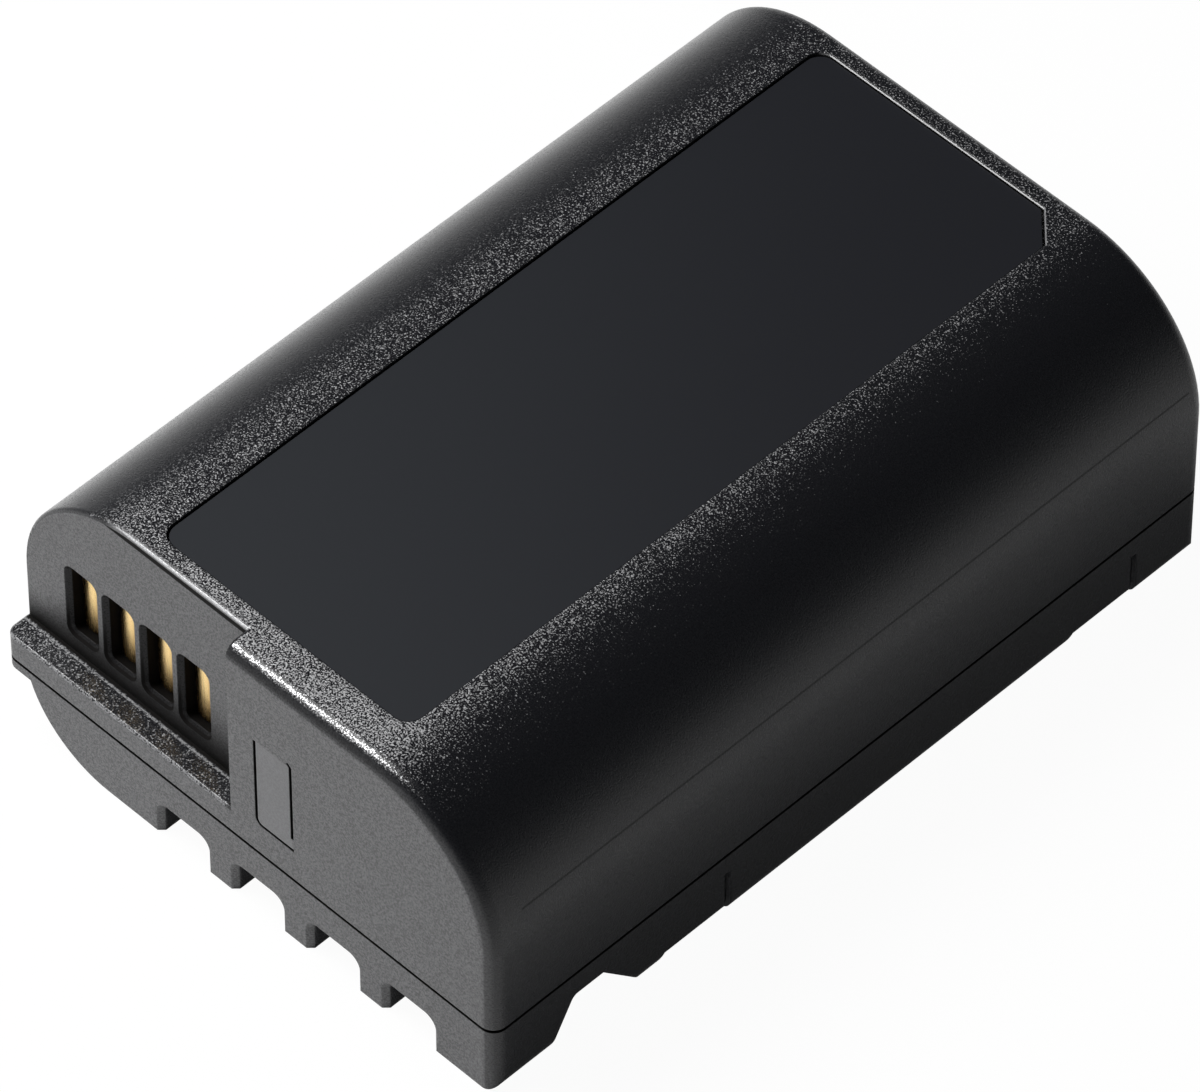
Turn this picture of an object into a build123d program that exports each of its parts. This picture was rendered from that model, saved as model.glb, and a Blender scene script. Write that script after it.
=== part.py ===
"""Rechargeable camera battery: two lithium cells and their circuit board in a welded plastic case.

The pack lies flat, label up. X runs across its width, Y along its length with the contact end at -Y,
and Z up. The origin is the middle of the underside. All sizes are in millimetres.
The case is sized around the cells: change a cell, a wall or a clearance and the outside follows.
"""

import os
from math import sqrt

from build123d import *

os.makedirs("parts", exist_ok=True)

# Cells
cell_diameter = 18.2
cell_length = 49.3
cell_gap = 0.2
button_diameter = 6.0
button_height = 0.4
crimp_distance = 3.2
crimp_height = 1.2
crimp_depth = 0.5
ring_hole_diameter = 8.5
ring_edge = 0.8
ring_thickness = 0.2

# Case walls and the room inside them
wall = 1.0
front_wall = 1.1
side_clearance = 0.7
neck_clearance = 0.1
foam_below = 0.35
foam_above = 0.4
cell_clearance = 0.1

# Outer rounding of the case
shoulder_radius = 9.6
front_radius = 1.0
end_radius = 0.9
ledge_corner_radius = 0.85
underside_radius = 0.95
heel_edge = 0.3

# Seam between the two halves
seam_height = 5.45
seam_groove = 0.22
seam_groove_depth = 0.25
tongue_thickness = 0.45
tongue_height = 0.65
seam_clearance = 0.05

# Guide rail along the lower left side, and the rounded belly under it
rail_height = 0.85
belly_run = 6.3

# Contact recess at the left of the contact end
recess_depth = 1.85
recess_width = 18.65
recess_edge_radius = 0.3
ledge_height = 1.85
ledge_edge = 0.15
ledge_web_radius = 0.4

# Contact slots in the recessed face
slot_count = 4
slot_width = 2.07
slot_height = 5.44
slot_web = 0.36
slot_lead_in = 0.33
slot_corner_radius = 0.4
slot_row_offset = 9.4
slot_row_rise = 6.1

# Thin U-shaped groove on the plain part of the contact end
tab_offset = 2.35
tab_width = 2.9
tab_bottom_rise = 2.55
tab_height = 7.2
tab_groove = 0.22
tab_groove_depth = 0.25
tab_corner_radius = 0.5
tab_break = 0.95
tab_curl = 0.25

# Label and its sunk bed
bed_depth = 0.45
bed_left_margin = 10.15
bed_right_margin = 9.75
bed_front_margin = 3.15
bed_back_margin = 1.55
bed_corner_radius = 1.1
bed_clipped_corner = 2.05
label_thickness = 0.3
label_gap = 0.12

# Toothed front edge of the underside
tooth_count = 5
tooth_width = 2.45
tooth_gap_width = 3.7
tooth_gap_height = 2.4
tooth_gap_length = 5.0
tooth_gap_radius = 0.6
tooth_edge = 0.35
tooth_corner_width = 5.0

# Notch and shallow reliefs along the lower right side
notch_start = 4.35
notch_front_run = 2.0
notch_ceiling_run = 2.35
notch_back_run = 3.3
notch_height = 3.5
notch_depth = 3.4
notch_foot = 0.35
notch_edge_radius = 0.6
relief_starts = (12.7, 46.4)
relief_length = 6.2
relief_height = 0.95
relief_depth = 1.5
hook_width = 0.5
hook_depth = 0.3
hook_top_drop = 1.7

# Ribs that seat the cells
cradle_count = 3
cradle_thickness = 1.0
cradle_height = 3.2
keel_thickness = 1.2
keel_inset = 3.0
keel_clearance = 0.4

# Foam strips
foam_width = 5.0
foam_inset = 4.0
foam_rise = 0.6
foam_clearance = 0.3

# Nickel strips
strip_thickness = 0.15
strip_bend_radius = 0.3
tab_strip_width = 6.0
tab_strip_reach = 3.0
tab_bend_rise = 4.0
tab_foot = 2.5
tap_width = 2.5
tap_clearance = 0.05
strap_height = 7.0
weld_slit_length = 3.6
weld_slit_width = 0.6

# Circuit board, its parts and the insulating sheets
board_thickness = 0.8
board_margin = 0.2
board_top_margin = 1.1
board_corner_radius = 6.0
wiring_gap = 1.4
holder_depth = 1.95
holder_margin = 0.7
sheet_thickness = 0.2
sheet_window_margin = 0.5
rear_clearance = 0.1
contact_thickness = 0.25
contact_crown = 0.2
contact_slot_gap = 0.12
contact_reach = 0.32
contact_leg_width = 1.4
contact_leg_thickness = 0.3
contact_clearance = 0.05
chip_size = (4.4, 5.0, 0.7)
chip_lead_count = 4
chip_lead_pitch = 1.0
chip_lead_size = (0.8, 0.4, 0.25)
switch_size = (4.0, 5.0, 1.0)
switch_pitch = 5.2
fuse_size = (3.2, 6.0, 1.1)
fuse_cap = 1.2
resistor_size = (6.3, 3.2, 0.5)
thermistor_diameter = 1.8
thermistor_length = 2.6
capacitor_size = (0.9, 1.6, 0.6)
capacitor_pitch = (2.2, 3.0)
capacitor_columns = 3
capacitor_rows = 2

# Sizes that follow from the ones above
cell_radius = cell_diameter / 2
cell_x = cell_radius + cell_gap / 2
cell_z = wall + foam_below + cell_radius
roof = bed_depth + wall
ceiling_z = cell_z + cell_radius + foam_above
height = ceiling_z + roof
half_width = cell_x + cell_radius + side_clearance + wall
width = 2 * half_width
front_bay = recess_depth + front_wall + holder_depth + board_thickness + wiring_gap
rear_bay = 2 * strip_thickness + sheet_thickness + rear_clearance + wall
length = front_bay + cell_length + rear_bay

front_y = -length / 2
back_y = length / 2
recess_y = front_y + recess_depth
bay_y = recess_y + front_wall
board_y = bay_y + holder_depth
board_back_y = board_y + board_thickness
cell_front_y = front_y + front_bay
cell_back_y = cell_front_y + cell_length
inner_back_y = back_y - wall

rail_under_z = seam_height - rail_height
neck_x = cell_x + sqrt(cell_radius**2 - (cell_z - seam_height) ** 2) + neck_clearance + wall
belly_x = neck_x - belly_run
recess_end_x = recess_width - half_width
ledge_z = seam_height + ledge_height
front_floor_z = tooth_gap_height + wall
tooth_floor_y = front_y + tooth_gap_length + wall

slot_pitch = slot_width + 2 * slot_lead_in + slot_web
slot_row_x = slot_row_offset - half_width
slot_row_z = seam_height + slot_row_rise
contact_width = slot_width - 2 * contact_slot_gap
contact_height = slot_height - 2 * contact_slot_gap
contact_y = bay_y - contact_reach

valley_z = cell_z + sqrt(cell_radius**2 - (cell_x - tap_width / 2) ** 2)
tap_z = valley_z + tap_clearance + strip_thickness / 2
tab_bend_z = cell_z + tab_bend_rise
board_half_width = half_width - notch_depth - wall - board_margin
board_top_z = ceiling_z - board_top_margin


def save(node, name):
    """Name a finished piece and write it to its own file."""
    node.part.label = name
    export_step(node.part, f"parts/{name}.step")


def shoulder_section(inset=0.0, top_inset=0.0):
    """Section across the upper half, from the seam up, drawn inset from its outer skin."""
    side = half_width - inset
    top = height - top_inset
    radius = shoulder_radius - inset
    with BuildSketch() as section:
        with BuildLine():
            Line((-side, seam_height), (side, seam_height))
            Line((side, seam_height), (side, top - radius))
            CenterArc((side - radius, top - radius), radius, 0, 90)
            Line((side - radius, top), (radius - side, top))
            CenterArc((radius - side, top - radius), radius, 90, 90)
            Line((-side, top - radius), (-side, seam_height))
        make_face()
    return section.sketch


def belly_section(inset=0.0):
    """Section across the lower half; the outer one steps out to the guide rail on the left."""
    side = half_width - inset
    neck = inset - neck_x
    rail_edge = neck if inset else -half_width
    with BuildSketch() as section:
        with BuildLine():
            Line((rail_edge, seam_height), (side, seam_height))
            Line((side, seam_height), (side, inset))
            Line((side, inset), (-belly_x, inset))
            TangentArc((-belly_x, inset), (neck, rail_under_z), tangent=(-1, 0))
            if not inset:
                Line((neck, rail_under_z), (rail_edge, rail_under_z))
            Line((rail_edge, rail_under_z), (rail_edge, seam_height))
        make_face()
        if not inset:
            fillet(section.vertices().sort_by_distance((side, 0))[0], underside_radius)
    return section.sketch


def seam_outline(inset):
    """Outline of the case at the seam, seen from above."""
    corner_radii = {
        (1, -1): front_radius,
        (1, 1): end_radius,
        (-1, 1): end_radius,
        (-1, -1): ledge_corner_radius,
    }
    with BuildSketch() as outline:
        Rectangle(width - 2 * inset, length - 2 * inset)
        for (x_side, y_side), radius in corner_radii.items():
            if radius > inset:
                corner = outline.vertices().sort_by_distance((x_side * half_width, y_side * back_y))[0]
                fillet(corner, radius - inset)
    return outline.sketch


def label_outline(gap=0.0):
    """Outline of the label's bed, with one clipped corner; the label itself keeps a gap all round."""
    left = bed_left_margin + gap - half_width
    right = half_width - bed_right_margin - gap
    start = front_y + bed_front_margin + gap
    stop = back_y - bed_back_margin - gap
    with BuildSketch() as outline:
        with Locations((left, start)):
            Rectangle(right - left, stop - start, align=Align.MIN)
        clipped = outline.vertices().sort_by_distance((right, stop))[0]
        chamfer(clipped, bed_clipped_corner)
        for corner in ((left, stop), (left, start), (right, start)):
            fillet(outline.vertices().sort_by_distance(corner)[0], bed_corner_radius)
    return outline.sketch


def cell_circles(clearance):
    """Round section of both cells, side by side."""
    with BuildSketch() as circles:
        with Locations((-cell_x, cell_z), (cell_x, cell_z)):
            Circle(cell_radius + clearance)
    return circles.sketch


# Plain part of the contact end, right of the recess
with BuildPart() as plain_end:
    with BuildSketch(Plane.XZ.offset(-cell_front_y)):
        add(shoulder_section())
        with Locations((recess_end_x, height / 2)):
            Rectangle(width, 2 * height, align=(Align.MAX, Align.CENTER), mode=Mode.SUBTRACT)
    extrude(amount=front_bay)
    end_edges = plain_end.faces().sort_by(Axis.Y)[0].edges()
    fillet(end_edges.sort_by(Axis.X)[1:].sort_by(Axis.Z)[1:], front_radius)
    step_edges = plain_end.faces().sort_by(Axis.X)[0].edges()
    fillet(step_edges.sort_by(Axis.Y)[:-1].sort_by(Axis.Z)[1:], recess_edge_radius)

# Ledge that closes the recess at its foot
with BuildPart() as ledge:
    with BuildSketch(Plane.XY.offset(seam_height)):
        with Locations((-half_width, front_y)):
            Rectangle(recess_width + front_radius, recess_depth + front_wall, align=Align.MIN)
    extrude(amount=ledge_height)
    corner_edges = ledge.edges().filter_by(Axis.Z)
    fillet(corner_edges.sort_by(Axis.X)[:2].sort_by(Axis.Y)[0], ledge_corner_radius)
    top_edges = ledge.faces().sort_by(Axis.Z)[-1].edges()
    chamfer(top_edges.sort_by(Axis.Y)[:-1].sort_by(Axis.X)[:-1], ledge_edge)
    web_x = recess_end_x - ledge_web_radius
    web_z = ledge_z + ledge_web_radius
    with BuildSketch(Plane.XZ.offset(-recess_y)):
        with BuildLine():
            CenterArc((web_x, web_z), ledge_web_radius, -90, 90)
            Polyline((recess_end_x, web_z), (recess_end_x, ledge_z), (web_x, ledge_z))
        make_face()
    extrude(amount=recess_depth - recess_edge_radius)

# Upper half of the case
with BuildPart() as upper_case:
    with BuildSketch(Plane.XZ.offset(-back_y)):
        add(shoulder_section())
    extrude(amount=back_y - recess_y)
    fillet(upper_case.faces().sort_by(Axis.Y)[-1].edges().sort_by(Axis.Z)[1:], end_radius)
    fillet(upper_case.faces().sort_by(Axis.Y)[0].edges().sort_by(Axis.Z)[1:], recess_edge_radius)
    add(plain_end.part)
    add(ledge.part)

    # Hollow for the cells and the board, then the bays behind the plain end and the ledge
    with BuildSketch(Plane.XZ.offset(-inner_back_y)):
        add(shoulder_section(wall, roof))
    extrude(amount=inner_back_y - bay_y, mode=Mode.SUBTRACT)
    with BuildSketch(Plane.XZ.offset(-bay_y)):
        add(shoulder_section(wall, roof))
        with Locations((recess_end_x + wall, height / 2)):
            Rectangle(width, 2 * height, align=(Align.MAX, Align.CENTER), mode=Mode.SUBTRACT)
    extrude(amount=bay_y - front_y - wall, mode=Mode.SUBTRACT)
    with BuildSketch(Plane.XY.offset(seam_height)):
        with Locations((wall - half_width, front_y + wall)):
            Rectangle(recess_width, bay_y - front_y - wall, align=Align.MIN)
    extrude(amount=ledge_height - wall, mode=Mode.SUBTRACT)

    # Rib between the cells, hanging from the roof
    with BuildSketch(Plane.XY.offset(ceiling_z)):
        with Locations((0, (cell_front_y + cell_back_y) / 2)):
            Rectangle(keel_thickness, cell_length - 2 * keel_inset)
    extrude(amount=tap_z + keel_clearance - ceiling_z)

    # Rebate that takes the tongue of the lower half
    with BuildSketch(Plane.XY.offset(seam_height)):
        add(seam_outline(wall - tongue_thickness - seam_clearance))
    extrude(amount=tongue_height + seam_clearance, mode=Mode.SUBTRACT)

    # Contact slots with their lead-in
    with BuildSketch(Plane.XZ.offset(-recess_y)):
        with Locations((slot_row_x, slot_row_z)):
            with GridLocations(slot_pitch, slot_height, slot_count, 1):
                RectangleRounded(slot_width, slot_height, slot_corner_radius)
    extrude(amount=-front_wall, mode=Mode.SUBTRACT)
    recess_faces = upper_case.faces().filter_by(Axis.Y).sort_by_distance((slot_row_x, recess_y, ledge_z))
    chamfer([edge for wire in recess_faces[0].inner_wires() for edge in wire.edges()], slot_lead_in)

    # U-shaped groove: one bent line and one straight line with a small curl
    tab_left_x = recess_end_x + tab_offset
    tab_right_x = tab_left_x + tab_width
    tab_bottom_z = seam_height + tab_bottom_rise
    tab_top_z = tab_bottom_z + tab_height
    with BuildSketch(Plane.XZ.offset(-front_y)):
        with BuildLine():
            FilletPolyline(
                (tab_left_x, tab_top_z),
                (tab_left_x, tab_bottom_z),
                (tab_right_x + tab_groove / 2, tab_bottom_z),
                radius=tab_corner_radius,
            )
        trace(line_width=tab_groove)
        with BuildLine():
            Polyline(
                (tab_right_x - tab_curl, tab_top_z + tab_curl),
                (tab_right_x, tab_top_z),
                (tab_right_x, tab_bottom_z + tab_break),
            )
        trace(line_width=tab_groove)
    extrude(amount=-tab_groove_depth, mode=Mode.SUBTRACT)

    # Bed of the label
    with BuildSketch(Plane.XY.offset(height)):
        add(label_outline())
    extrude(amount=-bed_depth, mode=Mode.SUBTRACT)
save(upper_case, "upper_case")

# Lower half of the case
with BuildPart() as lower_case:
    with BuildSketch(Plane.XZ.offset(-back_y)):
        add(belly_section())
    extrude(amount=length)
    chamfer(lower_case.edges().filter_by(Axis.X).sort_by_distance((0, back_y, 0))[0], heel_edge)
    with BuildSketch():
        add(seam_outline(0.0))
    extrude(amount=seam_height, mode=Mode.INTERSECT)

    # Fine groove all round, under the seam
    with BuildSketch(Plane.XY.offset(seam_height)):
        Rectangle(width + 2 * wall, length + 2 * wall)
        add(seam_outline(seam_groove_depth), mode=Mode.SUBTRACT)
    extrude(amount=-seam_groove, mode=Mode.SUBTRACT)

    # Hollow under the cells, and a shallower one over the toothed edge
    with BuildSketch(Plane.XZ.offset(-inner_back_y)):
        add(belly_section(wall))
    extrude(amount=inner_back_y - tooth_floor_y, mode=Mode.SUBTRACT)
    with BuildSketch(Plane.XY.offset(front_floor_z)):
        with Locations((wall - neck_x, front_y + wall)):
            Rectangle(neck_x + half_width - 2 * wall, tooth_gap_length, align=Align.MIN)
    extrude(amount=seam_height - front_floor_z, mode=Mode.SUBTRACT)

    # Cradle ribs, the rib between the cells and the housing of the side notch
    for place in range(cradle_count):
        cradle_y = cell_front_y + cell_length * (place + 0.75) / (cradle_count + 0.5)
        with BuildSketch(Plane.XZ.offset(-cradle_y)):
            add(belly_section(wall))
            with Locations((0, wall + cradle_height)):
                Rectangle(2 * width, height, align=(Align.CENTER, Align.MIN), mode=Mode.SUBTRACT)
        extrude(amount=cradle_thickness)
    with BuildSketch(Plane.XY.offset(wall)):
        with Locations((0, (cell_front_y + cell_back_y) / 2)):
            Rectangle(keel_thickness, cell_length - 2 * keel_inset)
    extrude(amount=cradle_height)
    notch_run = notch_front_run + notch_ceiling_run + notch_back_run
    with BuildSketch(Plane.XY.offset(wall / 2)):
        with Locations((half_width - wall / 2, front_y + notch_start - wall)):
            Rectangle(notch_depth + wall / 2, notch_run + 2 * wall, align=(Align.MAX, Align.MIN))
    extrude(amount=notch_height + wall / 2)
    with BuildSketch(Plane.XZ.offset(-inner_back_y)):
        add(cell_circles(cell_clearance))
        with Locations((-cell_x, wall), (cell_x, wall)):
            Rectangle(foam_width + 2 * foam_clearance, foam_rise, align=(Align.CENTER, Align.MIN))
    extrude(amount=inner_back_y - cell_front_y + wiring_gap / 2, mode=Mode.SUBTRACT)

    # Toothed front edge
    tooth_pitch = tooth_width + tooth_gap_width
    gap_count = tooth_count - 1
    gap_row_x = half_width - tooth_corner_width - tooth_gap_width / 2 - (gap_count - 1) * tooth_pitch / 2
    with BuildSketch(Plane.XZ.offset(-front_y)) as tooth_gaps:
        with Locations((gap_row_x, 0)):
            with GridLocations(tooth_pitch, tooth_gap_height, gap_count, 1):
                Rectangle(tooth_gap_width, 2 * tooth_gap_height)
        fillet(tooth_gaps.vertices().group_by(Axis.Y)[-1], tooth_gap_radius)
    extrude(amount=-tooth_gap_length, mode=Mode.SUBTRACT)
    front_edges = lower_case.faces().filter_by(Axis.Y).sort_by(Axis.Y)[0].edges()
    gap_row_reach = gap_count * tooth_pitch / 2
    gap_edges = front_edges.filter_by_position(Axis.X, gap_row_x - gap_row_reach, gap_row_x + gap_row_reach)
    chamfer(gap_edges.filter_by_position(Axis.Z, tooth_edge, tooth_gap_height), tooth_edge)

    # Notch in the lower right side
    notch_y = front_y + notch_start
    with BuildSketch(Plane.YZ.offset(half_width)) as notch:
        with BuildLine():
            Polyline(
                (notch_y - notch_foot, 0),
                (notch_y + notch_foot * notch_front_run / notch_height, notch_foot),
                (notch_y + notch_front_run, notch_height),
                (notch_y + notch_front_run + notch_ceiling_run, notch_height),
                (notch_y + notch_run, 0),
                close=True,
            )
        make_face()
        fillet(notch.vertices().sort_by_distance((notch_y, 2 * notch_height))[0], notch_edge_radius)
    extrude(amount=-notch_depth, mode=Mode.SUBTRACT)

    # Shallow reliefs of the lower right edge, each ending at a small hook
    for start in relief_starts:
        relief_y = front_y + start
        hook_y = relief_y + relief_length
        with BuildSketch(Plane.YZ.offset(half_width)):
            with BuildLine():
                Polyline(
                    (relief_y, 0),
                    (relief_y + relief_height, relief_height),
                    (hook_y, relief_height),
                    (hook_y, 0),
                    close=True,
                )
            make_face()
        extrude(amount=-relief_depth, mode=Mode.SUBTRACT)
        with BuildSketch(Plane.XY.offset(relief_height)):
            with BuildLine():
                Polyline(
                    (half_width, hook_y - hook_width),
                    (half_width - hook_depth, hook_y),
                    (half_width, hook_y),
                    close=True,
                )
            make_face()
        extrude(amount=seam_height - hook_top_drop - relief_height, mode=Mode.SUBTRACT)

    # Tongue that stands up into the upper half
    with BuildSketch(Plane.XY.offset(seam_height)):
        add(seam_outline(wall - tongue_thickness))
        Rectangle(width - 2 * wall, length - 2 * wall, mode=Mode.SUBTRACT)
    extrude(amount=tongue_height)
save(lower_case, "lower_case")

# Label
with BuildPart() as top_label:
    with BuildSketch(Plane.XY.offset(height - bed_depth)):
        add(label_outline(label_gap))
    extrude(amount=label_thickness)
save(top_label, "top_label")


def make_cell(x, direction):
    """One sealed cell; direction is +1 where its positive button points to the far end."""
    flat_y = cell_front_y if direction > 0 else cell_back_y
    shoulder = cell_length - button_height
    crimp = shoulder - crimp_distance
    with BuildPart() as cell:
        with BuildSketch(Plane((x, flat_y, cell_z), x_dir=(1, 0, 0), z_dir=(0, 0, direction))):
            with BuildLine():
                Polyline(
                    (0, 0),
                    (cell_radius, 0),
                    (cell_radius, crimp - crimp_height / 2),
                    (cell_radius - crimp_depth, crimp),
                    (cell_radius, crimp + crimp_height / 2),
                    (cell_radius, shoulder),
                    (button_diameter / 2, shoulder),
                    (button_diameter / 2, cell_length),
                    (0, cell_length),
                    close=True,
                )
            make_face()
        revolve(axis=Axis((x, flat_y, cell_z), (0, 1, 0)))
    return cell


def make_ring(x, direction):
    """Paper ring on the shoulder round a cell's positive button."""
    shoulder_y = cell_back_y - button_height if direction > 0 else cell_front_y + button_height
    with BuildPart() as ring:
        with BuildSketch(Plane.XZ.offset(-shoulder_y)):
            with Locations((x, cell_z)):
                Circle(cell_radius - ring_edge)
                Circle(ring_hole_diameter / 2, mode=Mode.SUBTRACT)
        extrude(amount=-direction * ring_thickness)
    return ring


for side, direction in (("left", 1), ("right", -1)):
    x = -cell_x if side == "left" else cell_x
    save(make_cell(x, direction), f"cell_{side}")
    save(make_ring(x, direction), f"cell_ring_{side}")


def make_pole_tab(x):
    """Nickel tab from the front end of one cell to the back of the board."""
    weld_y = cell_front_y - strip_thickness / 2
    foot_y = board_back_y + strip_thickness / 2
    with BuildPart() as tab:
        with BuildSketch(Plane.YZ.offset(x - tab_strip_width / 2)):
            with BuildLine():
                FilletPolyline(
                    (weld_y, cell_z - tab_strip_reach),
                    (weld_y, tab_bend_z),
                    (foot_y, tab_bend_z),
                    (foot_y, tab_bend_z + tab_foot),
                    radius=strip_bend_radius,
                )
            trace(line_width=strip_thickness)
        extrude(amount=tab_strip_width)
    return tab


save(make_pole_tab(-cell_x), "negative_tab")
save(make_pole_tab(cell_x), "positive_tab")

# Strap that joins the two cells at the far end, slit between its weld spots
with BuildPart() as rear_strap:
    with BuildSketch(Plane.XZ.offset(-cell_back_y)):
        with Locations((0, cell_z)):
            SlotCenterToCenter(2 * cell_x, strap_height)
        with Locations((-cell_x, cell_z), (cell_x, cell_z)):
            Rectangle(weld_slit_length, weld_slit_width, mode=Mode.SUBTRACT)
    extrude(amount=-strip_thickness)
save(rear_strap, "rear_strap")

# Centre tap: from the strap, over the valley between the cells, to the board
with BuildPart() as centre_tap:
    leg_y = cell_back_y + 1.5 * strip_thickness
    foot_y = board_back_y + strip_thickness / 2
    with BuildSketch(Plane.YZ.offset(-tap_width / 2)):
        with BuildLine():
            FilletPolyline(
                (leg_y, cell_z),
                (leg_y, tap_z),
                (foot_y, tap_z),
                (foot_y, tap_z + tab_foot),
                radius=strip_bend_radius,
            )
        trace(line_width=strip_thickness)
    extrude(amount=tap_width)
save(centre_tap, "centre_tap")


def board_outline(bottom_z):
    """Outline of the board and of the sheet behind it, across the case."""
    with BuildSketch() as outline:
        with Locations((0, bottom_z)):
            Rectangle(2 * board_half_width, board_top_z - bottom_z, align=(Align.CENTER, Align.MIN))
        fillet(outline.vertices().group_by(Axis.Y)[-1], board_corner_radius)
    return outline.sketch


# Circuit board, standing on the floor over the toothed edge
with BuildPart() as circuit_board:
    with BuildSketch(Plane.XZ.offset(-board_back_y)):
        add(board_outline(front_floor_z))
    extrude(amount=board_thickness)
save(circuit_board, "circuit_board")

# Insulating sheet between the board and the cells, with windows for the nickel strips
with BuildPart() as front_sheet:
    with BuildSketch(Plane.XZ.offset(strip_thickness - cell_front_y)):
        add(board_outline(front_floor_z))
        for x, z, strip in (
            (-cell_x, tab_bend_z, tab_strip_width),
            (cell_x, tab_bend_z, tab_strip_width),
            (0, tap_z, tap_width),
        ):
            with Locations((x, z)):
                Rectangle(
                    strip + 2 * sheet_window_margin,
                    strip_bend_radius + strip_thickness + 2 * sheet_window_margin,
                    mode=Mode.SUBTRACT,
                )
    extrude(amount=sheet_thickness)
save(front_sheet, "front_sheet")

# Insulating sheet between the strap and the far wall
with BuildPart() as rear_sheet:
    with BuildSketch(Plane.XZ.offset(-cell_back_y - 2 * strip_thickness)):
        with Locations((0, cell_z)):
            SlotCenterToCenter(2 * cell_x, cell_diameter - 2 * ring_edge)
    extrude(amount=-sheet_thickness)
save(rear_sheet, "rear_sheet")

# Moulded holder of the contacts, between the recessed wall and the board
holder_pocket_width = contact_width + 2 * contact_clearance
holder_pocket_height = contact_height + 2 * contact_clearance
with BuildPart() as contact_holder:
    with BuildSketch(Plane.XZ.offset(-board_y)):
        with Locations((slot_row_x, slot_row_z)):
            Rectangle(
                (slot_count - 1) * slot_pitch + holder_pocket_width + 2 * holder_margin,
                holder_pocket_height + 2 * holder_margin,
            )
            with GridLocations(slot_pitch, slot_height, slot_count, 1):
                Rectangle(holder_pocket_width, holder_pocket_height, mode=Mode.SUBTRACT)
    extrude(amount=holder_depth)
save(contact_holder, "contact_holder")


def make_contact(x):
    """Gold-plated contact: a crowned plate that reaches into its slot, on two legs from the board."""
    edge_y = contact_y + contact_crown
    back_face_y = edge_y + contact_thickness
    leg_rise = (contact_height - contact_leg_thickness) / 2
    with BuildPart() as contact:
        with BuildSketch(Plane.XY.offset(slot_row_z - contact_height / 2)):
            with BuildLine():
                ThreePointArc((x - contact_width / 2, edge_y), (x, contact_y), (x + contact_width / 2, edge_y))
                Line((x + contact_width / 2, edge_y), (x + contact_width / 2, back_face_y))
                Line((x + contact_width / 2, back_face_y), (x - contact_width / 2, back_face_y))
                Line((x - contact_width / 2, back_face_y), (x - contact_width / 2, edge_y))
            make_face()
        extrude(amount=contact_height)
        with BuildSketch(Plane.XZ.offset(-board_y)):
            with Locations((x, slot_row_z - leg_rise), (x, slot_row_z + leg_rise)):
                Rectangle(contact_leg_width, contact_leg_thickness)
        extrude(amount=board_y - back_face_y)
    return contact


for place in range(slot_count):
    x = slot_row_x + (place - (slot_count - 1) / 2) * slot_pitch
    save(make_contact(x), f"contact_{place + 1}")

# Parts on the board: the tall ones in front, in the bay behind the plain end, the flat ones behind
bay_x = (recess_end_x + wall + board_half_width) / 2
low_z = (front_floor_z + cell_z) / 2
high_z = (cell_z + board_top_z) / 2

with BuildPart() as control_chip:
    with BuildSketch(Plane.XZ.offset(-board_back_y)):
        with Locations((bay_x, low_z)):
            Rectangle(chip_size[0], chip_size[1])
    extrude(amount=-chip_size[2])
    with BuildSketch(Plane.XZ.offset(-board_back_y)):
        with Locations((bay_x, low_z)):
            lead_span = chip_size[0] + chip_lead_size[0]
            with GridLocations(lead_span, chip_lead_pitch, 2, chip_lead_count):
                Rectangle(chip_lead_size[0], chip_lead_size[1])
    extrude(amount=-chip_lead_size[2])
save(control_chip, "control_chip")

for place, offset in ((1, -switch_pitch / 2), (2, switch_pitch / 2)):
    with BuildPart() as power_switch:
        with BuildSketch(Plane.XZ.offset(-board_y)):
            with Locations((bay_x + offset, low_z)):
                Rectangle(switch_size[0], switch_size[1])
        extrude(amount=switch_size[2])
        chamfer(power_switch.faces().sort_by(Axis.Y)[0].edges(), switch_size[2] / 5)
    save(power_switch, f"power_switch_{place}")

with BuildPart() as fuse:
    with BuildSketch(Plane.XZ.offset(-board_y)):
        with Locations((bay_x + switch_pitch / 2, high_z)):
            Rectangle(fuse_size[0], fuse_size[1])
    extrude(amount=fuse_size[2])
    with BuildSketch(Plane.XZ.offset(fuse_size[2] - board_y)):
        with Locations((bay_x + switch_pitch / 2, high_z)):
            Rectangle(fuse_size[0], fuse_size[1] - 2 * fuse_cap)
    extrude(amount=-fuse_size[2] / 5, mode=Mode.SUBTRACT)
save(fuse, "fuse")

with BuildPart() as sense_resistor:
    with BuildSketch(Plane.XZ.offset(-board_back_y)):
        with Locations((slot_row_x, low_z)):
            Rectangle(resistor_size[0], resistor_size[1])
    extrude(amount=-resistor_size[2])
save(sense_resistor, "sense_resistor")

with BuildPart() as thermistor:
    with BuildSketch(Plane.XY.offset(high_z - thermistor_length / 2)):
        with Locations((bay_x - switch_pitch / 2, board_y - thermistor_diameter / 2)):
            Circle(thermistor_diameter / 2)
            with Locations((0, thermistor_diameter / 4)):
                Rectangle(thermistor_diameter, thermistor_diameter / 2)
    extrude(amount=thermistor_length)
save(thermistor, "thermistor")

with BuildPart() as capacitors:
    with BuildSketch(Plane.XZ.offset(-board_back_y)):
        with Locations((0, low_z)):
            with GridLocations(*capacitor_pitch, capacitor_columns, capacitor_rows):
                Rectangle(capacitor_size[0], capacitor_size[1])
    extrude(amount=-capacitor_size[2])
save(capacitors, "capacitors")


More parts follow.
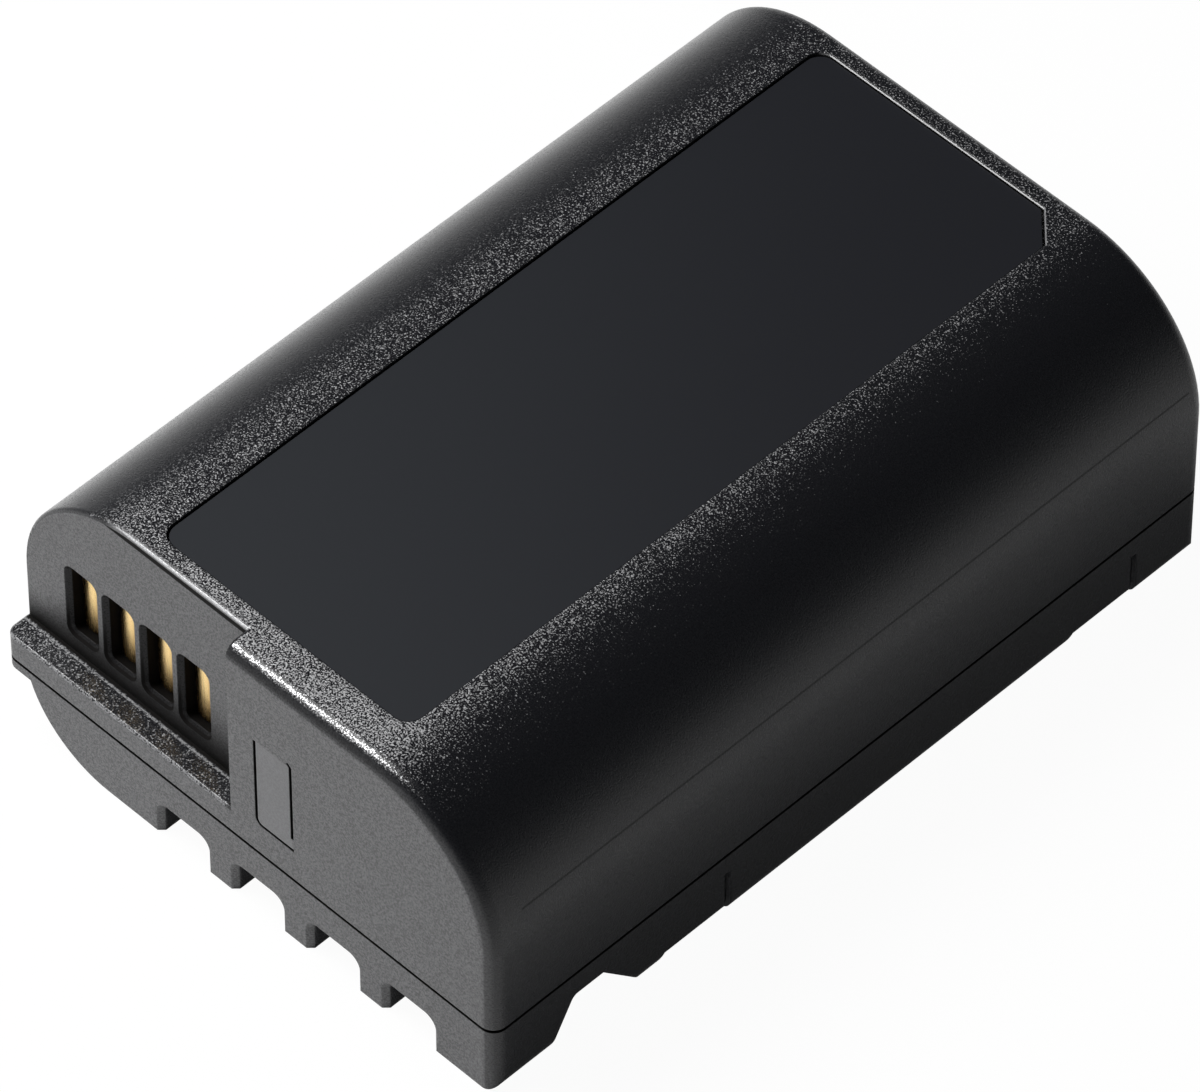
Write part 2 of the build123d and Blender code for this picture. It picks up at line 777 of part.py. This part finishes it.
def make_foam(x, surface_z, hollow):
    """Foam strip pressed between a case half, given by the section of its hollow, and a cell."""
    with BuildPart() as foam:
        with BuildSketch(Plane.XZ.offset(foam_inset - cell_back_y)):
            with Locations((x, surface_z)):
                Rectangle(foam_width, 2 * foam_rise)
            add(hollow, mode=Mode.INTERSECT)
            with Locations((x, cell_z)):
                Circle(cell_radius, mode=Mode.SUBTRACT)
        extrude(amount=cell_length - 2 * foam_inset)
    return foam


for side, x in (("left", -cell_x), ("right", cell_x)):
    save(make_foam(x, ceiling_z, shoulder_section(wall, roof)), f"upper_foam_{side}")
    save(make_foam(x, wall, belly_section(wall)), f"lower_foam_{side}")
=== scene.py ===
"""Looks of the camera battery: the finish of each piece, a white studio sweep, a lamp and the camera."""

from math import cos, radians, sin, tau

import bmesh
import bpy
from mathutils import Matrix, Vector


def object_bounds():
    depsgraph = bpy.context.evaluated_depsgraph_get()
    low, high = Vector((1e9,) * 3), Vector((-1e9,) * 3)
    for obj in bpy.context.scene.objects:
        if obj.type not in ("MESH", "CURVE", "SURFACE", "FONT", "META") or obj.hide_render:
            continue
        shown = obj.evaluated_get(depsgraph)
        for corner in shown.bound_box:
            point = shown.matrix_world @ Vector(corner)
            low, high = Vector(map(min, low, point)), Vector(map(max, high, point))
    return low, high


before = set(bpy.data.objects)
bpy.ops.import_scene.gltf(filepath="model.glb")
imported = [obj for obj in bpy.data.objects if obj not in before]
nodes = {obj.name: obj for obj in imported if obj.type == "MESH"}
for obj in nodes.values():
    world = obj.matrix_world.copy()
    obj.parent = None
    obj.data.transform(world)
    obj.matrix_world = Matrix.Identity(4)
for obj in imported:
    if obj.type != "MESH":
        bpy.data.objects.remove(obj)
cad_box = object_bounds()

MM = 0.001

# Places that the finishes follow, in millimetres in the part's own frame; a pair is a start and an end
front_y = cad_box[0][1] / MM
back_y = cad_box[1][1] / MM
front_wall_y = (-26.0, -25.8)

# Coarse grain and the glints painted on it
glint_rise_z = (15.0, 17.0)
front_glint_boost_end_y = -20.0
front_strip_y = (-27.9, -27.7)
thin_patch_x = (-11.6, -7.5)
thin_patch_y = (-12.0, 12.0)

# Contact recess, its ledge and the slots in its wall
recess_wall_y = -27.15
recess_top_z = (17.0, 17.5)
recess_lip_width = 0.13
recess_lip_x = (-13.2, -11.4)
recess_foot_z = 7.2
recess_foot_shade_z = 10.4
recess_foot_shade_rise = 2.8
recess_foot_shade_x = (-18.6, -15.0)
ledge_clear_z = (8.0, 9.0)
ledge_lip_y = -27.5
ledge_end_x = -1.35
ledge_thin_x = (-19.0, -12.0)
slot_row_x = (-17.2, -4.0)
slot_row_z = (8.3, 14.8)
slot_bevel_y = -27.12
slot_wall_y = -26.82
contact_bright_z = (8.6, 12.6)

# Small panel on the plain wall, and the groove round it
panel_x = (1.0, 3.9)
panel_z = (8.0, 15.2)
panel_groove_x = (panel_x[0] - 0.3, panel_x[1] + 0.3)
panel_groove_z = (panel_z[0] - 0.3, panel_z[1] + 0.5)
panel_groove_y = (-28.98, -28.97)

# Label and its bed with a clipped corner, seam, hairline on the right side, and teeth
bed_rim_z = (21.0, 21.1)
bed_gap_z = (20.8, 21.24)
bed_lip_highlight_z = (21.25, 21.27)
bed_clip_x_plus_y = (35.65, 35.77)
bed_clip_x = (8.1, 10.3)
bed_clip_y = (25.3, 27.5)
label_falloff_x_plus_y = (-30.0, 30.0)
seam_z = (5.217, 5.455)
hairline_x = (12.0, 12.1)
hairline_y = (-26.4, 27.8)
hairline_z = (14.135, 14.265)
tooth_top_z = (2.9, 3.1)
tooth_front_end_x = (17.0, 17.5)

# How the floor is mirrored in the case, in millimetres from its middle: from lit paper to plain white, and
# fainter white towards the right as a painted falloff of the light
mirrored_white_reach = (40.0, 75.0)
mirrored_left_shift = 15.0
mirrored_left_reach = (10.0, 45.0)
mirrored_right_x = (0.0, 60.0)


class Value:
    """One number, colour or vector in a shader tree; arithmetic on it adds Math nodes."""

    def __init__(self, finish, socket):
        self.finish = finish
        self.socket = socket

    def __add__(self, other):
        return self.finish.math("ADD", self, other)

    def __sub__(self, other):
        return self.finish.math("SUBTRACT", self, other)

    def __rsub__(self, other):
        return self.finish.math("SUBTRACT", other, self)

    def __mul__(self, other):
        return self.finish.math("MULTIPLY", self, other)

    def __neg__(self):
        return self.finish.math("MULTIPLY", self, -1.0)

    def __abs__(self):
        return self.finish.math("ABSOLUTE", self)

    __radd__ = __add__
    __rmul__ = __mul__


class Finish:
    """The shader tree of a material or a world while it is made. Every node in it comes from node()."""

    def __init__(self, owner):
        owner.use_nodes = True
        self.owner = owner
        self.tree = owner.node_tree
        self.tree.nodes.clear()

    def node(self, kind, settings=None, inputs=None, output=0):
        """Add a node: its settings first, then its sockets. Gives the chosen output."""
        made = self.tree.nodes.new(kind)
        for name, setting in (settings or {}).items():
            setattr(made, name, setting)
        for name, fed in (inputs or {}).items():
            if isinstance(fed, Value):
                self.tree.links.new(fed.socket, made.inputs[name])
            else:
                made.inputs[name].default_value = fed
        return None if output is None else Value(self, made.outputs[output])

    def math(self, operation, first, second=0.0):
        return self.node("ShaderNodeMath", {"operation": operation}, {0: first, 1: second})

    def place(self):
        """Place on the piece, in millimetres, as a vector."""
        metres = self.node("ShaderNodeTexCoord", output="Object")
        return self.scaled(metres, (1 / MM, 1 / MM, 1 / MM))

    def facing(self):
        """Direction that the surface faces, in the piece's own frame."""
        return self.node("ShaderNodeTexCoord", output="Normal")

    def scaled(self, vector, factors):
        return self.node("ShaderNodeVectorMath", {"operation": "MULTIPLY"}, {0: vector, 1: factors})

    def parts(self, vector):
        """The X, Y and Z of a vector."""
        split = self.node("ShaderNodeSeparateXYZ", inputs={0: vector}).socket.node
        return [Value(self, socket) for socket in split.outputs]

    def step(self, value, low, high):
        """0 below low, 1 above high, and smooth between them."""
        settings = {"interpolation_type": "SMOOTHSTEP"}
        return self.node("ShaderNodeMapRange", settings, {"Value": value, "From Min": low, "From Max": high})

    def within(self, value, low, high, soft):
        """1 between low and high, with soft ends."""
        return self.step(value, low - soft, low + soft) * (1 - self.step(value, high - soft, high + soft))

    def noise(self, vector, grain, detail=2.0, roughness=0.5):
        """Cloudy noise whose lumps are about grain millimetres across."""
        inputs = {"Vector": vector, "Scale": 1 / grain, "Detail": detail, "Roughness": roughness}
        return self.node("ShaderNodeTexNoise", inputs=inputs, output="Fac")

    def mix(self, share, first, second):
        """Blend of two colours."""
        settings = {"data_type": "RGBA"}
        return self.node("ShaderNodeMix", settings, {0: share, 6: first, 7: second}, output=2)

    def bump(self, height, depth, base=None):
        """Normal of a surface with that relief, depth millimetres high."""
        inputs = {"Height": height, "Strength": 1.0, "Distance": depth * MM}
        if base:
            inputs["Normal"] = base
        return self.node("ShaderNodeBump", inputs=inputs)

    def soft_edges(self, radius):
        """Normal that rounds sharp edges by that radius, in millimetres."""
        return self.node("ShaderNodeBevel", {"samples": 4}, {"Radius": radius * MM})

    def surface(self, **sockets):
        """A Principled surface; SOCKETS says which socket each name stands for."""
        inputs = {SOCKETS[name]: fed for name, fed in sockets.items()}
        return self.node("ShaderNodeBsdfPrincipled", inputs=inputs)

    def blend(self, share, first, second):
        """Blend of two surfaces."""
        return self.node("ShaderNodeMixShader", inputs={0: share, 1: first, 2: second})

    def done(self, surface, outlet="ShaderNodeOutputMaterial"):
        """Join the surface to the tree's outlet, and give the finished material or world."""
        self.node(outlet, inputs={"Surface": surface}, output=None)
        return self.owner


SOCKETS = {
    "color": "Base Color",
    "metallic": "Metallic",
    "roughness": "Roughness",
    "specular": "Specular IOR Level",
    "coat": "Coat Weight",
    "coat_roughness": "Coat Roughness",
    "normal": "Normal",
}


class Spot:
    """A point of a surface: its place in millimetres, and the direction that it faces."""

    def __init__(self, finish):
        self.place = finish.place()
        self.x, self.y, self.z = finish.parts(self.place)
        self.facing_x, self.facing_y, self.facing_z = finish.parts(finish.facing())


def new_finish(name):
    return Finish(bpy.data.materials.new(name))


def shade(red, green, blue):
    """A colour with its alpha, as sockets take it."""
    return (red, green, blue, 1.0)


def matt_share(finish, spot, tooth_row):
    """1 on the fine matt faces of the contact end, 0 on the coarse grain."""
    frontward = -spot.facing_y
    wall = 0.3 * finish.step(frontward, 0.6, 0.85) + 0.7 * finish.step(frontward, 0.955, 0.995)
    teeth = tooth_row * finish.step(frontward, 0.4, 0.9) * (1 - finish.step(spot.x, *tooth_front_end_x))
    return finish.math("MAXIMUM", wall, teeth)


def painted_glint_share(finish, spot, grain, ledge, behind_recess):
    """Painted glints on the coarse grain, partly metallic: densest on top by the contact end, thin where the
    case turns down.
    """
    frontward = -spot.facing_y
    leftward = -spot.facing_x
    # Painted highlight: the glints grow denser towards the contact end
    front_glint_boost = 0.08 * (1 - finish.step(spot.y, front_y, back_y))
    front_glint_boost = front_glint_boost + 0.05 * (1 - finish.step(spot.y, front_y, front_glint_boost_end_y))
    front_strip = 1 - finish.step(spot.y, *front_strip_y)
    front_turn = finish.step(frontward, 0.0, 0.15) - 1.2 * finish.within(frontward, 0.32, 0.52, 0.06)
    right_turn = finish.step(spot.facing_x, -0.05, 0.45)
    left_turn = finish.step(leftward, 0.0, 0.45)
    thin_patch = finish.within(spot.x, *thin_patch_x, 0.6) * (1 - finish.step(spot.y, *thin_patch_y))
    thin_patch = thin_patch * (1 - ledge)
    thin_ledge = ledge * (0.07 + 0.06 * finish.step(spot.x, *ledge_thin_x))
    density = grain + front_glint_boost - 0.03 - 0.21 * right_turn - 0.13 * left_turn - 0.1 * front_strip * front_turn
    painted_sparks = finish.step(density - thin_ledge - 0.05 * thin_patch, 0.52, 0.74)
    height = finish.step(spot.z, *glint_rise_z) + 0.7 * ledge
    sides = (1 - finish.step(spot.facing_x, 0.28, 0.62)) * (1 - finish.step(leftward, 0.1, 0.48))
    upward = finish.step(spot.facing_z, 0.5 + 0.2 * front_strip, 0.75 + 0.1 * front_strip)
    return painted_sparks * height * sides * upward * (1 - 0.6 * behind_recess)


def painted_edge_highlight_share(finish, spot, grain, ledge, behind_recess):
    """Painted highlights on thin edges: both lips of the ledge, the top of the recess and the bed's clipped
    corner.
    """
    flat = finish.step(spot.facing_z, 0.9, 0.95)
    back_lip = finish.within(spot.y, ledge_lip_y - 0.08, ledge_lip_y + 0.08, 0.04) * flat
    front_lip = finish.within(spot.facing_z, 0.6, 0.8, 0.05) * finish.step(-spot.facing_y, 0.5, 0.6)
    lips = ledge * (back_lip + front_lip) * finish.step(grain, 0.3, 0.6)
    recess_lip_y = recess_wall_y + recess_lip_width
    recess_lip = behind_recess * (1 - finish.step(spot.y, recess_lip_y, recess_lip_y + 0.06))
    recess_lip = recess_lip * finish.step(spot.x, *recess_lip_x)
    clip = finish.within(spot.x + spot.y, *bed_clip_x_plus_y, 0.02) * flat
    clip = clip * finish.within(spot.x, *bed_clip_x, 0.05) * finish.within(spot.y, *bed_clip_y, 0.05)
    return 0.55 * lips + 0.5 * clip + recess_lip * (0.5 + 0.3 * grain)


def grained_skin(finish, spot, ledge, rounded):
    """Coarse spark-eroded grain: black, with glints painted pale grey into its colour on top, partly
    metallic, and a speckled sheen from its coat down the left side.
    """
    grain = finish.noise(spot.place, 0.105, 1.0, 0.6)
    mottle = finish.noise(spot.place, 3.0)
    behind_recess = finish.within(spot.y, recess_wall_y, recess_wall_y + 0.4, 0.03)
    behind_recess = behind_recess * (1 - finish.step(spot.x, ledge_end_x, ledge_end_x + 0.1))
    behind_recess = behind_recess * finish.step(spot.z, *recess_top_z)
    painted_sparks = painted_glint_share(finish, spot, grain, ledge, behind_recess)
    # Painted highlights along thin edges
    edges = painted_edge_highlight_share(finish, spot, grain, ledge, behind_recess)
    glints = finish.math("MAXIMUM", painted_sparks, edges)
    return finish.surface(
        # The pale grey is the painted colour of the glints and edge highlights; the black is the moulding's
        # own
        color=finish.mix(glints, shade(0.0085, 0.0088, 0.0105), shade(0.55, 0.55, 0.56)),
        metallic=0.6 * glints,
        roughness=0.04 + 0.48 * grain + 0.04 * mottle,
        specular=0.32,
        coat=0.9 * finish.step(-spot.facing_x, 0.48, 0.75) * finish.step(grain, 0.38, 0.62),
        coat_roughness=0.3,
        normal=finish.bump(grain, 0.022, rounded),
    )


def matt_skin(finish, spot, rounded):
    """Fine matt moulding of the contact end, smoother on its small panel and paler there as a painted sheen,
    with a painted highlight along the bed's lip.
    """
    panel = finish.within(spot.x, *panel_x, 0.05) * finish.within(spot.z, *panel_z, 0.05)
    texture = 1 - 0.6 * panel
    grain = finish.noise(spot.place, 0.12, 1.0, 0.6)
    speckle = finish.step(grain, 0.25, 0.75) * texture
    # The small panel is paler: a painted sheen
    plain = finish.mix(0.8 * speckle + 0.66 * panel, shade(0.005, 0.005, 0.006), shade(0.14, 0.14, 0.146))
    return finish.surface(
        # Near-white band along the bed's lip: a painted highlight
        color=finish.mix(finish.step(spot.z, *bed_lip_highlight_z), plain, shade(0.9, 0.9, 0.9)),
        roughness=0.5,
        specular=0.95,
        normal=finish.bump(grain * texture, 0.012, rounded),
    )


def recess_foot_share(finish, spot):
    """Shade towards the foot of the recessed wall, which reaches less high at its left end."""
    shade_top = recess_foot_shade_z + recess_foot_shade_rise * finish.step(spot.x, *recess_foot_shade_x)
    depth = 1 - finish.step(spot.z, recess_foot_z, shade_top)
    wall = finish.within(spot.y, recess_wall_y - 0.15, recess_wall_y + 0.15, 0.05)
    wall = wall * finish.step(spot.z, recess_foot_z, recess_foot_z + 0.05)
    wall = wall * (1 - finish.step(-spot.facing_x, 0.5, 0.8))
    wall = wall * (1 - finish.step(spot.x, ledge_end_x, ledge_end_x + 0.1))
    return 0.92 * depth * wall


def ledge_channel_shade_share(finish, spot, ledge):
    """Painted shade of a channel along the back of the ledge and across its right end."""
    back = finish.step(spot.y, ledge_lip_y + 0.06, ledge_lip_y + 0.2)
    end = finish.step(spot.x, ledge_end_x - 0.4, ledge_end_x - 0.1)
    return 0.85 * ledge * finish.step(spot.facing_z, 0.5, 0.8) * finish.math("MINIMUM", back + end, 1.0)


def painted_shade_share(finish, spot, ledge, matt):
    """1 where painted shade darkens the seam, the panel's groove, the slots, the foot of the recess, the back
    of the ledge and the gap round the bed, and along a dark hairline on the right side; 0 on its open faces.
    """
    front_wall = 1 - finish.step(spot.y, *front_wall_y)
    seam = finish.within(spot.z, *seam_z, 0.006)
    panel_groove = finish.within(spot.x, *panel_groove_x, 0.05) * finish.within(spot.z, *panel_groove_z, 0.05)
    panel_groove = panel_groove * finish.step(spot.y, *panel_groove_y) * front_wall
    slots = finish.within(spot.x, *slot_row_x, 0.05) * finish.within(spot.z, *slot_row_z, 0.05) * front_wall
    bevels = finish.step(spot.y, slot_bevel_y - 0.02, slot_bevel_y + 0.02)
    slots = slots * (0.6 * bevels + 0.4 * finish.step(spot.y, slot_wall_y - 0.04, slot_wall_y + 0.04))
    hairline = finish.within(spot.z, *hairline_z, 0.04) * finish.within(spot.y, *hairline_y, 0.1)
    hairline = hairline * finish.step(spot.x, *hairline_x)
    foot = recess_foot_share(finish, spot)
    channel = ledge_channel_shade_share(finish, spot, ledge)
    bed_gap = matt * finish.within(spot.z, *bed_gap_z, 0.01)
    dark = seam + panel_groove + slots + 0.6 * hairline + foot + channel + bed_gap
    return finish.math("MINIMUM", dark, 1.0)


def case_finish():
    """Black moulding: coarse grain with glints painted on it from above, fine matt faces at the contact end,
    and painted shade in its grooves and corners.
    """
    finish = new_finish("case_plastic")
    spot = Spot(finish)
    tooth_row = 1 - finish.step(spot.z, *tooth_top_z)
    rounded = finish.soft_edges(0.1 + 0.2 * tooth_row + 0.15 * finish.step(spot.z, *bed_rim_z))
    ledge = 1 - finish.step(spot.y, recess_wall_y - 0.1, recess_wall_y)
    ledge = ledge * (1 - finish.step(spot.z, *ledge_clear_z))
    matt = matt_share(finish, spot, tooth_row)
    skin = finish.blend(matt, grained_skin(finish, spot, ledge, rounded), matt_skin(finish, spot, rounded))
    # Near-black surface painted into grooves and corners as their shade
    painted_shade_surface = finish.surface(color=shade(0.004, 0.0034, 0.003), roughness=0.7, specular=0.1)
    return finish.done(finish.blend(painted_shade_share(finish, spot, ledge, matt), skin, painted_shade_surface))


def label_finish():
    """Satin film with a barely visible grain, and a painted light falloff that makes it a little paler
    towards the contact end.
    """
    finish = new_finish("label_film")
    place = finish.place()
    x, y, _ = finish.parts(place)
    grain = finish.noise(place, 0.3)
    # Painted light falloff: paler at the front left, darker to the back right, with a little grain
    falloff_and_grain = 0.9 * finish.step(x + y, *label_falloff_x_plus_y) + 0.1 * grain
    return finish.done(
        finish.surface(
            color=finish.mix(falloff_and_grain, shade(0.0160, 0.0178, 0.0212), shade(0.0100, 0.0106, 0.0136)),
            roughness=0.42 + 0.06 * grain,
            specular=0.22,
            normal=finish.bump(grain, 0.002),
        )
    )


def gold_finish():
    """Gold plating, brushed up and down, with painted shade that makes it browner towards its long edges and
    its foot.
    """
    finish = new_finish("gold_plating")
    spot = Spot(finish)
    streaks = finish.noise(finish.scaled(spot.place, (1.0, 1.0, 0.08)), 0.18, 1.0)
    # Painted shade: brown where the contact turns aside and towards its foot, gold between
    crown = 1 - finish.step(abs(spot.facing_x), 0.05, 0.36)
    rise = finish.step(spot.z, *contact_bright_z)
    gold_lit_share = (0.15 + 0.85 * crown) * (0.2 + 0.8 * rise) + 0.08 * streaks
    return finish.done(
        finish.surface(
            color=finish.mix(gold_lit_share, shade(0.22, 0.12, 0.035), shade(0.95, 0.68, 0.30)),
            metallic=1.0,
            roughness=0.24 + 0.06 * streaks,
            normal=finish.bump(streaks, 0.0002),
        )
    )


def metal_finish(name, dark, light, stretch):
    """Plain rolled metal with a grain along one axis."""
    finish = new_finish(name)
    grain = finish.noise(finish.scaled(finish.place(), stretch), 0.25, 3.0, 0.6)
    return finish.done(
        finish.surface(
            color=finish.mix(grain, shade(*dark), shade(*light)),
            metallic=1.0,
            roughness=0.28 + 0.25 * grain,
            normal=finish.bump(grain, 0.006),
        )
    )


def dull_finish(name, dark, light, grain, relief, roughness):
    """Plain moulded, pressed, fired or foamed stuff: two close shades in a grain of its own."""
    finish = new_finish(name)
    place = finish.place()
    lumps = finish.noise(place, grain, 3.0, 0.6)
    clouds = finish.noise(place, grain * 12)
    return finish.done(
        finish.surface(
            color=finish.mix(0.6 * lumps + 0.4 * clouds, shade(*dark), shade(*light)),
            roughness=roughness + 0.1 * clouds,
            specular=0.4,
            normal=finish.bump(lumps, relief),
        )
    )


def board_finish():
    """Green solder resist, with the weave of the laminate just showing under it."""
    finish = new_finish("solder_resist")
    x, _, z = finish.parts(finish.place())
    weave_pitch = 0.5
    across = finish.math("SINE", x * (tau / weave_pitch))
    along = finish.math("SINE", z * (tau / weave_pitch))
    weave = 0.5 + 0.25 * across + 0.25 * along
    return finish.done(
        finish.surface(
            color=finish.mix(weave, shade(0.012, 0.10, 0.040), shade(0.020, 0.15, 0.060)),
            roughness=0.3,
            normal=finish.bump(weave, 0.004),
        )
    )


def sweep_finish():
    """White paper: it shows white behind the object, and keeps a trace of its shadow."""
    finish = new_finish("white_sweep")
    kinds = ("Camera", "Glossy", "Transmission")
    camera, glossy, clear = (finish.node("ShaderNodeLightPath", output=f"Is {kind} Ray") for kind in kinds)
    place = finish.place()
    x = finish.parts(place)[0]
    reach = finish.node("ShaderNodeVectorMath", {"operation": "LENGTH"}, {0: place}, output="Value")
    reach = reach + mirrored_left_shift * finish.step(-x, *mirrored_left_reach)
    # Painted falloff: the white seen in reflections is fainter to the right
    mirrored = finish.step(reach, *mirrored_white_reach) * (0.9 - 0.4 * finish.step(x, *mirrored_right_x))
    seen = finish.math("MINIMUM", camera + (0.1 + mirrored) * (glossy + clear), 1.0)
    paper = finish.node("ShaderNodeBsdfDiffuse", inputs={"Color": shade(0.92, 0.92, 0.92)})
    white = finish.node("ShaderNodeEmission", inputs={"Color": shade(1.0, 1.0, 1.0), "Strength": 1.0})
    return finish.done(finish.blend(0.96 * seen, paper, white))


def make_surroundings(overhead, horizon, horizon_top):
    """Dim room round the floor: the strength of its light overhead, and what the horizon adds to it."""
    room = Finish(bpy.data.worlds.new("studio"))
    upward = room.parts(room.node("ShaderNodeTexCoord", output="Generated"))[2]
    strength = overhead + horizon * (1 - room.step(upward, 0.0, horizon_top))
    light = room.node("ShaderNodeBackground", inputs={"Color": shade(0.55, 0.57, 0.60), "Strength": strength})
    bpy.context.scene.world = room.done(light, "ShaderNodeOutputWorld")


def make_sweep(radius, wall_height, corner):
    """Round studio floor that curves up into a low wall all round."""
    mesh = bpy.data.meshes.new("studio_sweep")
    shape = bmesh.new()
    bmesh.ops.create_circle(shape, cap_ends=True, radius=radius, segments=64)
    rim = list(shape.edges)
    for rise, run in ((corner * 0.3, corner * 0.7), (corner * 0.7, corner * 0.3), (wall_height, 0.0)):
        grown = bmesh.ops.extrude_edge_only(shape, edges=rim)["geom"]
        rim = [part for part in grown if isinstance(part, bmesh.types.BMEdge)]
        for vertex in {vertex for edge in rim for vertex in edge.verts}:
            outward = Vector((vertex.co.x, vertex.co.y, 0.0)).normalized()
            vertex.co += outward * run + Vector((0.0, 0.0, rise))
    shape.to_mesh(mesh)
    shape.free()
    mesh.materials.append(sweep_finish())
    sweep = bpy.data.objects.new("studio_sweep", mesh)
    bpy.context.scene.collection.objects.link(sweep)


def make_lamp(name, place, aim, width, height, power):
    """Soft box at a place, turned to its aim."""
    lamp = bpy.data.lights.new(name, "AREA")
    lamp.shape = "RECTANGLE"
    lamp.size = width
    lamp.size_y = height
    lamp.energy = power
    stand = bpy.data.objects.new(name, lamp)
    stand.location = place
    stand.rotation_mode = "QUATERNION"
    stand.rotation_quaternion = (Vector(aim) - Vector(place)).to_track_quat("-Z", "Y")
    bpy.context.scene.collection.objects.link(stand)


def make_camera(azimuth, elevation, distance, aim, focal_length, sensor_width):
    """Long lens that looks down at a point of the part; angles in degrees, lengths in millimetres."""
    azimuth = radians(azimuth)
    elevation = radians(elevation)
    back = Vector((sin(azimuth) * cos(elevation), -cos(azimuth) * cos(elevation), sin(elevation)))
    lens = bpy.data.cameras.new("camera")
    lens.sensor_width = sensor_width
    lens.lens = focal_length
    camera = bpy.data.objects.new("camera", lens)
    camera.location = (Vector(aim) + distance * back) * MM
    camera.rotation_mode = "QUATERNION"
    camera.rotation_quaternion = (-back).to_track_quat("-Z", "Y")
    bpy.context.scene.collection.objects.link(camera)
    bpy.context.scene.camera = camera


# Dull stuffs by slot: name, dark and light shade, grain and relief in millimetres, roughness
dull_stuffs = {
    "holder": ("holder_plastic", (0.004, 0.004, 0.004), (0.007, 0.007, 0.007), 0.2, 0.01, 0.6),
    "paper": ("pressed_paper", (0.74, 0.71, 0.63), (0.86, 0.84, 0.78), 0.12, 0.012, 0.75),
    "chip": ("moulded_epoxy", (0.020, 0.020, 0.022), (0.032, 0.032, 0.034), 0.08, 0.008, 0.5),
    "fuse_body": ("fuse_ceramic", (0.70, 0.68, 0.60), (0.80, 0.78, 0.72), 0.15, 0.004, 0.4),
    "resistor_body": ("resistor_coat", (0.045, 0.045, 0.047), (0.075, 0.075, 0.078), 0.1, 0.006, 0.45),
    "bead": ("dipped_bead", (0.10, 0.07, 0.035), (0.15, 0.11, 0.06), 0.4, 0.02, 0.22),
    "ceramic": ("fired_ceramic", (0.44, 0.33, 0.22), (0.56, 0.43, 0.30), 0.1, 0.005, 0.4),
    "sheet": ("insulating_sheet", (0.16, 0.16, 0.16), (0.24, 0.24, 0.24), 0.1, 0.006, 0.6),
    "foam": ("closed_cell_foam", (0.08, 0.08, 0.08), (0.15, 0.15, 0.15), 0.18, 0.06, 0.85),
}
finishes = {
    "case": case_finish(),
    "label": label_finish(),
    "contact_gold": gold_finish(),
    "cell_can": metal_finish("cell_steel", (0.50, 0.51, 0.53), (0.60, 0.61, 0.63), (1.0, 0.1, 1.0)),
    "nickel": metal_finish("nickel_strip", (0.56, 0.54, 0.50), (0.68, 0.66, 0.62), (0.1, 1.0, 1.0)),
    "board": board_finish(),
}
for slot_name, stuff in dull_stuffs.items():
    finishes[slot_name] = dull_finish(*stuff)
for piece in nodes.values():
    for slot in piece.material_slots:
        slot.material = finishes[slot.material.name]

bpy.context.scene.view_settings.view_transform = "Standard"
make_surroundings(overhead=0.015, horizon=0.42, horizon_top=0.75)
make_sweep(radius=2.4, wall_height=0.10, corner=0.06)
make_lamp("key_soft_box", (-0.13, -0.08, 0.24), aim=(0.0, 0.0, 0.01), width=0.15, height=0.15, power=1.03)
make_camera(
    azimuth=44.99,
    elevation=49.10,
    distance=642.97,
    aim=(0.2136, -0.7859, 8.1603),
    focal_length=334.154,
    sensor_width=36.0,
)
